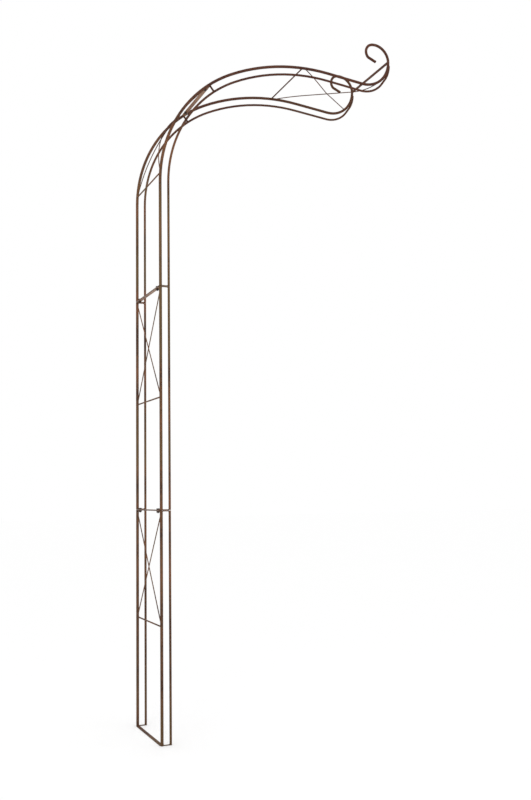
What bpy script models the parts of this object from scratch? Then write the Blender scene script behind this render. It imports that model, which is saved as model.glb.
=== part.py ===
"""Half rose arch of round steel rod, in four bolted sections, at its real size.

Two like side frames stand side by side. Each has a thick back rod and a thin front rod that
runs parallel to it. Flat bars, rails and welded wire crosses join the two back rods, and short
links join each back rod to its front rod. Two straight leg sections carry a bent spring section
and a crest section, which ends in scrolls.

Frame: metres, with the origin in the middle of the foot bar's underside, on the ground. +X is
the way the arch leans, +Y is the left side frame and +Z is up.
"""

import math
from dataclasses import dataclass, field

import bmesh
import bpy
from mathutils import Matrix, Vector

# Side frames
FRAME_SPACING = 0.290            # between the two back rods, centre to centre
ROD_SPACING = 0.029              # between a back rod and its front rod, centre to centre
BACK_ROD_DIAMETER = 0.010
FRONT_ROD_DIAMETER = 0.008

# The back rod's bends, from the ground up; angles in degrees
LEG_LENGTH = 0.750               # each of the two leg sections, from joint to joint
SPRING_LEG_LENGTH = 0.363        # the spring section's start, before it bends
SPRING_RADIUS = 0.470
SPRING_ANGLE = 64.0
SPRING_END_ANGLE = 52.0          # how far the spring section has turned at its upper joint
CREST_RADIUS = 0.718
CREST_ANGLE = 32.0
CREST_FALL_LENGTH = 0.142        # the gentle fall before the crest turns up again
RISE_RADIUS = 0.1065
RISE_ANGLE = 94.0
SCROLL_RADIUS = 0.059
SCROLL_ANGLE = 103.0
CURL_RADIUS = 0.032
CURL_ANGLE = 110.0
TIP_RADIUS = 0.015
TIP_ANGLE = 36.0
TIP_LENGTH = 0.032               # the scroll's straight end

# The front rod leaves the crest on its own bend and tapers off along the outside of the rise
FRONT_RISE_RADIUS = 0.103
FRONT_WELD_SLOPE = 54.0          # both rods' slope where the taper and its weld begin
FRONT_END_SLOPE = 82.0           # the same where they end
FRONT_TIP_DIAMETER = 0.003

# Rails, each at its height above the section's lower joint, measured along the back rod
RAIL_DIAMETER = 0.005
LEG_RAIL = 0.375
SPRING_RAIL = 0.394
CREST_RAIL = 0.392

# Welded wire crosses above each rail
WIRE_DIAMETER = 0.0035
WIRE_INSET = 0.012               # from a wire's lower end to its rail, along the back rod
JOINT_WIRE_INSET = 0.006         # from its upper end to the joint above
CREST_WIRE_INSET = 0.095         # from the crest's wires to its end bar
WELD_SINK = 0.0006               # how deep the two wires of a cross run into each other

# Section ends: a flat bar and links on the joint's plane, with the rods' ends set back from it
BAR_WIDTH = 0.012
BAR_THICKNESS = 0.002
ROD_SETBACK = 0.0007
LINK_DIAMETER = 0.0035

# M6 fasteners
BOLT_INSET = 0.036               # from a back rod's centre to the bolt's axis
BOLT_DIAMETER = 0.006
BOLT_HOLE = 0.0066
BOLT_HEAD_WIDTH = 0.010          # across the flats, as the nut
BOLT_HEAD_HEIGHT = 0.004
NUT_HEIGHT = 0.005
BOLT_STICKOUT = 0.002            # thread below the nut

FIT = 0.0003                     # clearance between two pieces that are welded or seated
CHORD_ERROR = 0.0002             # how far a bend's facets may lie inside the true bend
ROD_SIDES = 12                   # facets round a rod, a bolt and a hole
WIRE_SIDES = 8                   # facets round a rail, a link and a wire


@dataclass
class Stretch:
    """One straight or one bend of a rod, in the plane of its side frame."""

    start: float                 # length along the rod at which it begins
    length: float
    point: Vector                # its beginning, as (x, z)
    heading: float               # radians above +X at its beginning
    curvature: float             # radians per metre, positive where the rod turns upward

    def at(self, along):
        """Point (x, z) and heading at a length along the rod."""
        run = along - self.start
        turned = self.curvature * run
        chord = run if not turned else 2 * math.sin(turned / 2) / self.curvature
        middle = self.heading + turned / 2
        reached = self.point + chord * Vector((math.cos(middle), math.sin(middle)))
        return reached, self.heading + turned

    def stations(self):
        """Lengths along the rod at which its facets meet, from beginning to end."""
        steps = 1
        if self.curvature:
            step = 2 * math.acos(1 - CHORD_ERROR * abs(self.curvature))
            steps = math.ceil(abs(self.curvature) * self.length / step)
        return [self.start + self.length * i / steps for i in range(steps + 1)]


@dataclass
class RodPath:
    """A rod's centre line in its side frame: a chain of straights and bends."""

    x: float                     # where it stands on the ground
    stretches: list = field(default_factory=list)

    @property
    def length(self):
        return sum(stretch.length for stretch in self.stretches)

    def add(self, length, curvature=0.0):
        point, heading = Vector((self.x, 0.0)), math.pi / 2
        if self.stretches:
            point, heading = self.stretches[-1].at(self.length)
        self.stretches.append(Stretch(self.length, length, point, heading, curvature))

    def bend(self, radius, degrees):
        """Turns by an angle: upward where it is positive, over and down where it isn't."""
        self.add(radius * math.radians(abs(degrees)), math.copysign(1 / radius, degrees))

    def at(self, along):
        """Point (x, z) and heading at a length along the rod."""
        for stretch in self.stretches:
            if along <= stretch.start + stretch.length:
                return stretch.at(along)
        return self.stretches[-1].at(along)

    def turned_to(self, heading):
        """Length along the rod at which it has turned upward to a heading."""
        for stretch in self.stretches:
            short = heading - stretch.heading
            if stretch.curvature > 0 and 0 <= short <= stretch.curvature * stretch.length:
                return stretch.start + short / stretch.curvature
        return self.length

    def between(self, low, high):
        """Lengths along the rod for a piece of it: both ends and each facet edge inside."""
        edges = {s for stretch in self.stretches for s in stretch.stations()}
        return [low] + sorted(s for s in edges if low + FIT < s < high - FIT) + [high]

    def frame(self, along):
        """Placement on the rod: X towards the arch's inside, Y to the left, Z along the rod."""
        (x, z), heading = self.at(along)
        ahead = Vector((math.cos(heading), 0.0, math.sin(heading)))
        inside = Vector((math.sin(heading), 0.0, -math.cos(heading)))
        turn = Matrix((inside, Vector((0.0, 1.0, 0.0)), ahead)).transposed()
        return Matrix.Translation((x, 0.0, z)) @ turn.to_4x4()


def back_path():
    """The back rod, from the ground to the scroll's tip."""
    path = RodPath(0.0)
    path.add(2 * LEG_LENGTH + SPRING_LEG_LENGTH)
    path.bend(SPRING_RADIUS, -SPRING_ANGLE)
    path.bend(CREST_RADIUS, -CREST_ANGLE)
    path.add(CREST_FALL_LENGTH)
    path.bend(RISE_RADIUS, RISE_ANGLE)
    path.bend(SCROLL_RADIUS, SCROLL_ANGLE)
    path.bend(CURL_RADIUS, CURL_ANGLE)
    path.bend(TIP_RADIUS, TIP_ANGLE)
    path.add(TIP_LENGTH)
    return path


def front_path():
    """The front rod: parallel to the back rod, then its own bend up to the weld and along it.

    Its line touches a circle round the rise's centre, one clearance outside the back rod, and
    follows it from there. The lead is the straight from its bend to that point, and reach is
    how much longer than the back rod's its gentle fall is.
    """
    fall = 90.0 - SPRING_ANGLE - CREST_ANGLE
    turn = math.radians(FRONT_WELD_SLOPE - fall)
    touching = RISE_RADIUS + BACK_ROD_DIAMETER / 2 + FIT + FRONT_ROD_DIAMETER / 2
    spare = touching - FRONT_RISE_RADIUS
    depth = RISE_RADIUS + ROD_SPACING - FRONT_RISE_RADIUS
    lead = (depth - spare * math.cos(turn)) / math.sin(turn)
    reach = spare * math.sin(turn) - lead * math.cos(turn)
    path = RodPath(ROD_SPACING)
    path.add(2 * LEG_LENGTH + SPRING_LEG_LENGTH)
    path.bend(SPRING_RADIUS - ROD_SPACING, -SPRING_ANGLE)
    path.bend(CREST_RADIUS - ROD_SPACING, -CREST_ANGLE)
    path.add(CREST_FALL_LENGTH + reach)
    path.bend(FRONT_RISE_RADIUS, math.degrees(turn))
    path.add(lead)
    path.bend(touching, FRONT_END_SLOPE - FRONT_WELD_SLOPE)
    return path


def front_share(along):
    """Share of its full diameter that the front rod has at a length: less on its taper."""
    taper = FRONT.stretches[-1]
    done = max(0.0, (along - taper.start) / taper.length)
    return 1 - done * (1 - FRONT_TIP_DIAMETER / FRONT_ROD_DIAMETER)


BACK = back_path()
FRONT = front_path()
SIDES = {"left": FRAME_SPACING / 2, "right": -FRAME_SPACING / 2}
SPRING_START = 2 * LEG_LENGTH


def spring_end(bend_radius):
    """Length along a rod to the spring section's upper joint."""
    return SPRING_START + SPRING_LEG_LENGTH + bend_radius * math.radians(SPRING_END_ANGLE)


def material(name, colour, roughness, metallic):
    """A plain surface of one colour."""
    made = bpy.data.materials.new(name)
    made.use_nodes = True
    shader = made.node_tree.nodes["Principled BSDF"]
    shader.inputs["Base Color"].default_value = (*colour, 1.0)
    shader.inputs["Roughness"].default_value = roughness
    shader.inputs["Metallic"].default_value = metallic
    return made


def place(name, data, surface, frame, parent):
    """Puts a piece in the scene under its section, at a frame in the section's own axes."""
    piece = bpy.data.objects.new(name, data)
    bpy.context.collection.objects.link(piece)
    data.materials.clear()
    data.materials.append(surface)
    piece.parent = parent
    piece.matrix_local = frame
    return piece


def tube(name, points, diameter, sides, shares=None):
    """A round rod through points, with flat ends and, where given, shares of its diameter."""
    curve = bpy.data.curves.new(name, "CURVE")
    curve.dimensions = "3D"
    curve.bevel_depth = diameter / 2
    curve.bevel_resolution = sides // 2 - 2
    curve.use_fill_caps = True
    spline = curve.splines.new("POLY")
    spline.points.add(len(points) - 1)
    for knot, point, share in zip(spline.points, points, shares or [1.0] * len(points)):
        knot.co = (*point, 1.0)
        knot.radius = share
    return curve


def mesh_of(piece):
    """The finished mesh of an object, with its bevel or modifiers."""
    bpy.context.view_layer.update()
    graph = bpy.context.evaluated_depsgraph_get()
    return bpy.data.meshes.new_from_object(piece.evaluated_get(graph))


def combined(name, base, tool, operation):
    """One mesh from two, joined or cut."""
    holder = bpy.data.objects.new(name, base)
    other = bpy.data.objects.new(name + "_tool", tool)
    for piece in (holder, other):
        bpy.context.collection.objects.link(piece)
    boolean = holder.modifiers.new("combine", "BOOLEAN")
    boolean.operation = operation
    boolean.solver = "EXACT"
    boolean.object = other
    mesh = mesh_of(holder)
    mesh.name = name
    for piece in (holder, other):
        bpy.data.objects.remove(piece)
    return mesh


def prism(name, sides, radius, low, high):
    """An upright prism or cylinder between two heights."""
    mesh = bpy.data.meshes.new(name)
    shape = bmesh.new()
    bmesh.ops.create_cone(
        shape,
        cap_ends=True,
        segments=sides,
        radius1=radius,
        radius2=radius,
        depth=high - low,
        matrix=Matrix.Translation((0.0, 0.0, (low + high) / 2)),
    )
    shape.to_mesh(mesh)
    shape.free()
    return mesh


def hexagon_radius(across_flats):
    return across_flats / math.sqrt(3)


def plain_bar_mesh():
    """A flat bar between the back rods, without holes; its outer face is at 0."""
    length = FRAME_SPACING - BACK_ROD_DIAMETER - 2 * FIT
    mesh = bpy.data.meshes.new("flat_bar")
    shape = bmesh.new()
    size = Matrix.Diagonal((BAR_WIDTH, length, BAR_THICKNESS, 1.0))
    lift = Matrix.Translation((0.0, 0.0, BAR_THICKNESS / 2))
    bmesh.ops.create_cube(shape, size=1.0, matrix=lift @ size)
    shape.to_mesh(mesh)
    shape.free()
    return mesh


def bar_mesh():
    """A flat bar with its two bolt holes."""
    mesh = plain_bar_mesh()
    for side in SIDES.values():
        drill = prism("drill", ROD_SIDES, BOLT_HOLE / 2, -BAR_THICKNESS, 2 * BAR_THICKNESS)
        drill.transform(Matrix.Translation((0.0, bolt_offset(side), 0.0)))
        mesh = combined("flat_bar", mesh, drill, "DIFFERENCE")
    return mesh


def bolt_offset(side):
    """Place across the arch of the bolt next to a back rod."""
    return side - math.copysign(BOLT_INSET, side)


def bar_lift():
    """Height of a flat bar's outer face above the plane of its joint."""
    return FIT / 2


def bolt_mesh():
    """A hexagon bolt that stands on the upper bar, with 0 at the joint's plane."""
    seat = bar_lift() + BAR_THICKNESS + FIT
    reach = seat + NUT_HEIGHT + BOLT_STICKOUT
    head = prism("bolt", 6, hexagon_radius(BOLT_HEAD_WIDTH), seat, seat + BOLT_HEAD_HEIGHT)
    shank = prism("shank", ROD_SIDES, BOLT_DIAMETER / 2, -reach, seat + BOLT_HEAD_HEIGHT / 2)
    return combined("bolt", head, shank, "UNION")


def nut_mesh():
    """A hexagon nut under the lower bar, with 0 at the joint's plane."""
    seat = bar_lift() + BAR_THICKNESS + FIT
    nut = prism("nut", 6, hexagon_radius(BOLT_HEAD_WIDTH), -seat - NUT_HEIGHT, -seat)
    bore = prism("bore", ROD_SIDES, BOLT_HOLE / 2, -seat - 2 * NUT_HEIGHT, NUT_HEIGHT)
    return combined("nut", nut, bore, "DIFFERENCE")


@dataclass
class Section:
    """One bolted section of the arch, between two lengths along the back and front rods."""

    name: str
    back: tuple                  # lengths along the back rod at its lower and upper end
    front: tuple
    rail: float                  # rail's length along the back rod above the lower joint
    lift: float                  # height of the bottom bar's outer face above its plane
    cross_top: float             # length along the back rod at which its wires end
    end_bar: float | None = None  # the same for the end bar of a section with no joint above

    @property
    def bolted_above(self):
        return self.end_bar is None

    def build(self, coat):
        """Adds the section's pieces under an empty at its lower joint."""
        self.root = bpy.data.objects.new(self.name + "_section", None)
        bpy.context.collection.objects.link(self.root)
        self.root.matrix_world = BACK.frame(self.back[0])
        self.inward = self.root.matrix_world.inverted()
        self.coat = coat
        self.add_rods()
        self.add_rail()
        self.add_cross()
        self.add_end("bottom", self.back[0], 1, self.lift)
        if self.bolted_above:
            self.add_end("top", self.back[1], -1, bar_lift())
        else:
            middle = Matrix.Translation((0.0, 0.0, -BAR_THICKNESS / 2))
            self.put("end_bar", plain_bar_mesh(), BACK.frame(self.end_bar) @ middle)

    def put(self, name, data, frame):
        """Places a piece given in the arch's axes."""
        place(self.name + "_" + name, data, self.coat, self.inward @ frame, self.root)

    def add_rods(self):
        """Both side frames' back and front rods, cut short of the joints."""
        rods = (
            ("back_rod", BACK, self.back, BACK_ROD_DIAMETER),
            ("front_rod", FRONT, self.front, FRONT_ROD_DIAMETER),
        )
        for kind, path, (low, high), diameter in rods:
            top = high - ROD_SETBACK if self.bolted_above else high
            stations = path.between(low + ROD_SETBACK, top)
            shares = [front_share(s) if path is FRONT else 1.0 for s in stations]
            places = [(s, (share - 1) * diameter / 2) for s, share in zip(stations, shares)]
            for side, offset in SIDES.items():
                points = [
                    self.inward @ path.frame(s) @ Vector((shift, offset, 0)) for s, shift in places
                ]
                rod = tube(kind, points, diameter, ROD_SIDES, shares)
                self.put(kind + "_" + side, rod, self.root.matrix_world)

    def add_rail(self):
        """The rail at mid-section."""
        half = FRAME_SPACING / 2 - BACK_ROD_DIAMETER / 2 - FIT
        rail = tube("rail", [(0.0, -half, 0.0), (0.0, half, 0.0)], RAIL_DIAMETER, WIRE_SIDES)
        self.put("rail", rail, BACK.frame(self.back[0] + self.rail))

    def add_end(self, end, along, up, lift):
        """A flat bar and two links at one end; up is 1 where they lie above the joint."""
        flip = Matrix.Identity(4) if up > 0 else Matrix.Rotation(math.pi, 4, "Y")
        frame = BACK.frame(along)
        self.put(end + "_bar", bar_mesh(), frame @ Matrix.Translation((0, 0, up * lift)) @ flip)
        height = up * (lift + LINK_DIAMETER / 2)
        start = BACK_ROD_DIAMETER / 2 + FIT
        stop = ROD_SPACING - FRONT_ROD_DIAMETER / 2 - FIT
        for side, offset in SIDES.items():
            link = tube("link", [(start, 0.0, 0.0), (stop, 0.0, 0.0)], LINK_DIAMETER, WIRE_SIDES)
            middle = frame @ Matrix.Translation((0.0, offset, height))
            self.put(end + "_link_" + side, link, middle)

    def add_cross(self):
        """Two wires from corner to corner above the rail, welded where they cross.

        The crest's upper wire runs straight from the crossing on, over the dip below it.
        """
        low = self.back[0] + self.rail + WIRE_INSET
        high = self.cross_top
        reach = FRAME_SPACING / 2 - BACK_ROD_DIAMETER / 2 - FIT
        slope = math.atan2(high - low, 2 * reach)
        half = reach - WIRE_DIAMETER / 2 * math.sin(slope)
        lift = (WIRE_DIAMETER - WELD_SINK) / 2
        crossing = (low + high) / 2
        others = [s for s in BACK.between(low, high) if abs(s - crossing) > FIT]
        stations = sorted([crossing, *others])
        wires = []
        for hand in (1, -1):
            points = []
            straight = hand < 0 and not self.bolted_above
            for along in stations:
                if straight and crossing < along < high:
                    continue
                share = (along - low) / (high - low)
                across = hand * half * (1 - 2 * share)
                points.append(self.inward @ BACK.frame(along) @ Vector((hand * lift, across, 0)))
            wire = tube("wire", points, WIRE_DIAMETER, WIRE_SIDES)
            holder = bpy.data.objects.new("wire", wire)
            bpy.context.collection.objects.link(holder)
            wires.append(mesh_of(holder))
            bpy.data.objects.remove(holder)
        cross = combined("wire_cross", wires[0], wires[1], "UNION")
        self.put("wire_cross", cross, self.root.matrix_world)


def sections():
    """The four sections, from the ground up."""
    crest = spring_end(SPRING_RADIUS)
    front_crest = spring_end(SPRING_RADIUS - ROD_SPACING)
    base = (0.0, LEG_LENGTH)
    middle = (LEG_LENGTH, SPRING_START)
    spring = (SPRING_START, crest)
    front_spring = (SPRING_START, front_crest)
    scroll = (crest, BACK.length)
    front_scroll = (front_crest, FRONT.length)
    upright = BACK.turned_to(math.pi / 2)
    crest_top = upright - CREST_WIRE_INSET
    seat = bar_lift()
    return [
        Section("base", base, base, LEG_RAIL, 0.0, LEG_LENGTH - JOINT_WIRE_INSET),
        Section("middle", middle, middle, LEG_RAIL, seat, SPRING_START - JOINT_WIRE_INSET),
        Section("spring", spring, front_spring, SPRING_RAIL, seat, crest - JOINT_WIRE_INSET),
        Section("crest", scroll, front_scroll, CREST_RAIL, seat, crest_top, upright),
    ]


def add_fasteners(steel):
    """A bolt and a nut beside each back rod at each of the three joints."""
    joints = {
        "leg_joint": LEG_LENGTH,
        "spring_joint": SPRING_START,
        "crest_joint": spring_end(SPRING_RADIUS),
    }
    for joint, along in joints.items():
        for side, offset in SIDES.items():
            frame = BACK.frame(along) @ Matrix.Translation((0.0, bolt_offset(offset), 0.0))
            place(joint + "_bolt_" + side, bolt_mesh(), steel, frame, None)
            place(joint + "_nut_" + side, nut_mesh(), steel, frame, None)


def main():
    for old in list(bpy.data.objects):
        bpy.data.objects.remove(old)
    coat = material("rust_brown_coat", (0.115, 0.070, 0.050), 0.55, 0.3)
    steel = material("dark_steel", (0.080, 0.062, 0.052), 0.45, 0.8)
    for section in sections():
        section.build(coat)
    add_fasteners(steel)


main()
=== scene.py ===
"""Dresses the rose arch: round rods, bars, fasteners and welds, their finishes, and the studio.

The arch stands on the origin, in metres. +X is the way it leans, +Y is its left side frame, seen
from behind, and +Z is up. Angles are in degrees where a field's comment says so.
"""

import logging
import math
from dataclasses import dataclass, field
from enum import Enum
from functools import cached_property
from typing import Callable, Sequence, Union

import bpy
from bpy.types import ID, ColorRamp, Material, Mesh, Node, NodeSocket, Object, World
from mathutils import Matrix, Vector, noise


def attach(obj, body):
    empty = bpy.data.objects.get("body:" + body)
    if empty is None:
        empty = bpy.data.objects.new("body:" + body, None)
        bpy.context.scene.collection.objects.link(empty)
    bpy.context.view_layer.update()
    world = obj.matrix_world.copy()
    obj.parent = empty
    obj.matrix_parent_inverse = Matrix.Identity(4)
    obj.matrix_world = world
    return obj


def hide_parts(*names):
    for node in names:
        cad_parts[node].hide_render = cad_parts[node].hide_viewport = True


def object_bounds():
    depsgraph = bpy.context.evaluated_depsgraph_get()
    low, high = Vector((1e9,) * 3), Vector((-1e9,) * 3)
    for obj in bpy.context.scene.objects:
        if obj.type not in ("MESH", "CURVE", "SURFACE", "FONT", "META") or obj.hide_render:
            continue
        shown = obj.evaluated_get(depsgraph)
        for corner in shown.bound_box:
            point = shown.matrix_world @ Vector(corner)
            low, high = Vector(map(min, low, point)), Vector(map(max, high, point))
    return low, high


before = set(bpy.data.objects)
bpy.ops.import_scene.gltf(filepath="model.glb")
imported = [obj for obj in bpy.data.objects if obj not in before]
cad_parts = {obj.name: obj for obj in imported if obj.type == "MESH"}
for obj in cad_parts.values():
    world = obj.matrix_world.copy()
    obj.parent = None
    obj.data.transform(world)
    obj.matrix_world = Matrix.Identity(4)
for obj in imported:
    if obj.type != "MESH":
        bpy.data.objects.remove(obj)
CAD_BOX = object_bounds()

LOG = logging.getLogger("rose_arch")

BODY = "root"
SHARP_ANGLE = 32.0          # degrees between faces from which an edge stays crisp
TURN_STEP = 2.5             # degrees of bend between two rings of a rod
END_ROUNDING = 0.0006       # worn edge of a sawn rod end
ROUNDED_SHARE = 0.3         # of the rounding, within which most of its turn lies
LEVEL_LIMIT = 0.1           # sine of the angle to Y under which a rod counts as lying along Y
CLOUD_FINENESS = 0.6        # how strongly the finer noise shows in a cloud
WHITE = (1.0, 1.0, 1.0)

Number = Union["Value", float]
Triple = tuple[float, float, float]
Colour = Triple
Pair = tuple[float, float]
Layers = list[tuple["Value", Colour]]


class Labelled(Enum):
    """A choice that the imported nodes' names spell out."""

    @property
    def label(self) -> str:
        """The member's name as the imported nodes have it."""
        return self.name.lower()


class Side(Labelled):
    """The two side frames, with their direction along Y."""

    LEFT = 1
    RIGHT = -1


class End(Labelled):
    """The two ends of a section, with the direction along the rods into the section."""

    BOTTOM = 1
    TOP = -1


class Slot(Enum):
    """The record's material slots."""

    COAT = "rust_brown_coat"
    STEEL = "dark_steel"


# Finishes


class Value:
    """A number on a shader socket, on which Python's operators add Math nodes."""

    def __init__(self, graph: "Graph", socket: NodeSocket) -> None:
        """Keeps the socket that carries the number, and the graph that new nodes go into."""
        self.graph = graph
        self.socket = socket

    def _math(self, operation: str, *terms: Number) -> "Value":
        """Adds a Math node on some terms, and gives its result."""
        node = self.graph.add("Math", {"operation": operation}, dict(enumerate(terms)))
        return Value(self.graph, node.outputs[0])

    def __add__(self, other: Number) -> "Value":
        """Sum."""
        return self._math("ADD", self, other)

    __radd__ = __add__

    def __sub__(self, other: Number) -> "Value":
        """Difference."""
        return self._math("SUBTRACT", self, other)

    def __rsub__(self, other: float) -> "Value":
        """Difference from a number on the left."""
        return self._math("SUBTRACT", other, self)

    def __mul__(self, other: Number) -> "Value":
        """Product."""
        return self._math("MULTIPLY", self, other)

    __rmul__ = __mul__

    def __abs__(self) -> "Value":
        """Size without sign."""
        return self._math("ABSOLUTE", self)

    def largest(self, other: Number) -> "Value":
        """The larger of two values."""
        return self._math("MAXIMUM", self, other)

    def step(self, low: float, high: float) -> "Value":
        """A smooth rise between two levels, or a fall where the first is the higher one.

        Args:
            low: Level that gives 0.
            high: Level that gives 1.

        Returns:
            The stepped value.
        """
        settings = {"interpolation_type": "SMOOTHSTEP", "clamp": True}
        inputs = {"Value": self, "From Min": low, "From Max": high}
        return Value(self.graph, self.graph.add("MapRange", settings, inputs).outputs["Result"])


class Graph:
    """The node tree of one finish, or of the room's light."""

    def __init__(self, owner: Material | World) -> None:
        """Opens the tree of a new material or world, which holds a shader and an output.

        Args:
            owner: The material or world.
        """
        owner.use_nodes = True
        self.owner = owner
        self.nodes = owner.node_tree.nodes
        self.links = owner.node_tree.links
        self.shader = next(node for node in self.nodes if node.outputs)
        self.output = next(node for node in self.nodes if not node.outputs)

    @cached_property
    def place(self) -> NodeSocket:
        """The surface's place in its piece's own axes."""
        return self.add("TexCoord").outputs["Object"]

    def add(self, kind: str, settings: dict | None = None, inputs: dict | None = None) -> Node:
        """Adds any node.

        Args:
            kind: The node's type, without its ShaderNode prefix.
            settings: Its properties, and a ramp's stops as pairs of position and colour.
            inputs: Values or links by socket name or number.

        Returns:
            The new node.
        """
        node = self.nodes.new("ShaderNode" + kind)
        for key, setting in (settings or {}).items():
            if key == "stops":
                self._set_stops(node.color_ramp, setting)
            else:
                setattr(node, key, setting)
        for key, value in (inputs or {}).items():
            self.feed(node.inputs[key], value)
        return node

    @staticmethod
    def _set_stops(ramp: ColorRamp, stops: Sequence[tuple[float, Colour]]) -> None:
        """Gives a ramp its stops.

        Args:
            ramp: The ramp.
            stops: Pairs of position and colour, from low to high.
        """
        while len(ramp.elements) < len(stops):
            ramp.elements.new(1.0)
        for element, (position, colour) in zip(ramp.elements, stops):
            element.position = position
            element.color = (*colour, 1.0)

    def feed(self, socket: NodeSocket, value: object) -> None:
        """Links a socket, or sets its value.

        Args:
            socket: The input.
            value: A Value, an output socket, a number or a colour.
        """
        if isinstance(value, Value):
            value = value.socket
        if isinstance(value, NodeSocket):
            self.links.new(value, socket)
        elif isinstance(value, tuple) and socket.type == "RGBA":
            socket.default_value = (*value, 1.0)
        else:
            socket.default_value = value

    def noise(self, grain: float, detail: float) -> Value:
        """Clouds from 0 to 1, so many metres wide, with detail as octaves of finer noise."""
        inputs = {"Scale": 1.0 / grain, "Detail": detail, "Roughness": CLOUD_FINENESS}
        return Value(self, self.add("TexNoise", {}, {"Vector": self.place, **inputs}).outputs["Fac"])

    def axis(self, name: str) -> Value:
        """The surface's X, Y or Z in its piece's own axes."""
        return Value(self, self.add("SeparateXYZ", {}, {0: self.place}).outputs[name])

    def length(self, first: Value, second: Value) -> Value:
        """Length of the vector that two values make up."""
        spread = self.add("CombineXYZ", {}, {"X": first, "Y": second}).outputs[0]
        return Value(self, self.add("VectorMath", {"operation": "LENGTH"}, {0: spread}).outputs["Value"])

    def ramp(self, value: Value, *stops: tuple[float, Colour]) -> NodeSocket:
        """Colours for a value, from pairs of position and colour."""
        return self.add("ValToRGB", {"stops": stops}, {"Fac": value}).outputs["Color"]

    def mix(self, factor: Number, first: object, second: object) -> NodeSocket:
        """Mixes two colours.

        Args:
            factor: Share of the second.
            first: Colour or its socket.
            second: Colour or its socket.

        Returns:
            The mixed colour's socket.
        """
        node = self.add("Mix", {"data_type": "RGBA"}, {"Factor": factor})
        sockets = {socket.identifier: socket for socket in (*node.inputs, *node.outputs)}
        self.feed(sockets["A_Color"], first)
        self.feed(sockets["B_Color"], second)
        return sockets["Result_Color"]

    def bump(self, height: Value, depth: float, below: NodeSocket | None = None) -> NodeSocket:
        """Relief from a height value.

        Args:
            height: From 0 to 1.
            depth: Height of the relief, in metres.
            below: A coarser relief's normal, on which this one lies.

        Returns:
            The normal's socket.
        """
        inputs = {"Height": height, "Distance": depth, "Strength": 1.0}
        if below is not None:
            inputs["Normal"] = below
        return self.add("Bump", {}, inputs).outputs["Normal"]

    def dress(self, **inputs: object) -> Material | World:
        """Sets the shader's own sockets.

        Args:
            **inputs: Values or links by socket name, with _ for a space.

        Returns:
            The finished material or world.
        """
        for key, value in inputs.items():
            self.feed(self.shader.inputs[key.replace("_", " ")], value)
        return self.owner


@dataclass(frozen=True, kw_only=True)
class RustCoat:
    """Matt rust-brown coat on rods and wires, in long drifts of umber, olive and red-brown, with painted
    shade at the crest.
    """

    name: str = "rust_brown_coat_finish"
    umber: Colour = (0.058, 0.028, 0.017)
    brown: Colour = (0.122, 0.059, 0.029)
    red_brown: Colour = (0.180, 0.076, 0.037)
    olive: Colour = (0.136, 0.087, 0.037)    # where the coat has gone dull
    crest: Colour = (0.070, 0.020, 0.015)    # painted shade on the crest's undersides, darker and redder high up
    bloom: Colour = (0.220, 0.095, 0.042)    # fresh rust in the coat's pores
    drift: float = 0.16                      # width of the slow change of tone
    dulling: float = 0.28                    # and of the dull stretches
    mottle: float = 0.009
    pore: float = 0.0014
    orange_peel: float = 0.0009
    relief: float = 0.00020
    mottle_rise: float = 2.0                 # height of the mottle's relief, against the fine one's
    peel_share: float = 0.60                 # of the fine relief, which is rust for the rest
    drift_share: float = 0.70                # of the tone, which is mottle for the rest
    tones: Triple = (0.40, 0.50, 0.60)       # of the three shades
    dull_noise: Pair = (0.46, 0.62)          # noise between which each of these sets in
    rusty_pores: Pair = (0.55, 0.68)
    rusty_mottle: Pair = (0.46, 0.62)
    crest_shade_heights: Pair = (1.95, 2.30)       # heights between which the painted crest shade sets in
    low_darkening_heights: Pair = (0.70, 0.0)         # and between which the coat darkens towards the bottom
    dull_share: float = 0.70                 # how strongly each of these shows
    crest_shade_share: float = 0.65
    low_darkening_share: float = 0.45
    rust_share: float = 0.70
    roughness: float = 0.58
    mottle_roughness: float = 0.16           # what each of these adds
    rust_roughness: float = 0.18
    wear_roughness: float = -0.06
    sheen: float = 0.14
    metal: float = 0.10
    wear_metal: float = 0.30

    def shades(self) -> tuple[Colour, ...]:
        """The coat's own colours, from the lowest tone up."""
        return (self.umber, self.brown, self.red_brown)

    def weather(self, graph: Graph, mottle: Value, rust: Value) -> tuple[Layers, Number]:
        """What lies over the coat's own colours, and where it is rubbed bare.

        Args:
            graph: The graph that the nodes go into.
            mottle: The coat's mottle.
            rust: The mask of the rust in its pores.

        Returns:
            Pairs of mask and colour, from the lowest up, and the mask of what is bare.
        """
        height = graph.axis("Z")
        layers = [
            (graph.noise(self.dulling, detail=1.0).step(*self.dull_noise) * self.dull_share, self.olive),
            # painted shade: the crest darker and redder high up
            (height.step(*self.crest_shade_heights) * self.crest_shade_share, self.crest),
            # darker towards the bottom
            (height.step(*self.low_darkening_heights) * self.low_darkening_share, self.umber),
            (rust * self.rust_share, self.bloom),
        ]
        return layers, 0.0

    def material(self) -> Material:
        """Builds the finish.

        Returns:
            The material.
        """
        graph = Graph(bpy.data.materials.new(self.name))
        drift, mottle = graph.noise(self.drift, detail=2.0), graph.noise(self.mottle, detail=4.0)
        pores, peel = graph.noise(self.pore, detail=2.0), graph.noise(self.orange_peel, detail=2.0)
        rust = pores.step(*self.rusty_pores) * mottle.step(*self.rusty_mottle)
        tone = drift * self.drift_share + mottle * (1.0 - self.drift_share)
        colour = graph.ramp(tone, *zip(self.tones, self.shades()))
        layers, wear = self.weather(graph, mottle, rust)
        for mask, over in layers:
            colour = graph.mix(mask, colour, over)
        rough = self.roughness + mottle * self.mottle_roughness + rust * self.rust_roughness
        fine = peel * self.peel_share + rust * (1.0 - self.peel_share)
        coarse = graph.bump(mottle, self.relief * self.mottle_rise)
        return graph.dress(
            Base_Color=colour,
            Roughness=rough + wear * self.wear_roughness,
            Metallic=self.metal * (1.0 - rust) + wear * self.wear_metal,
            Specular_IOR_Level=self.sheen,
            Normal=graph.bump(fine, self.relief, coarse),
        )


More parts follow.
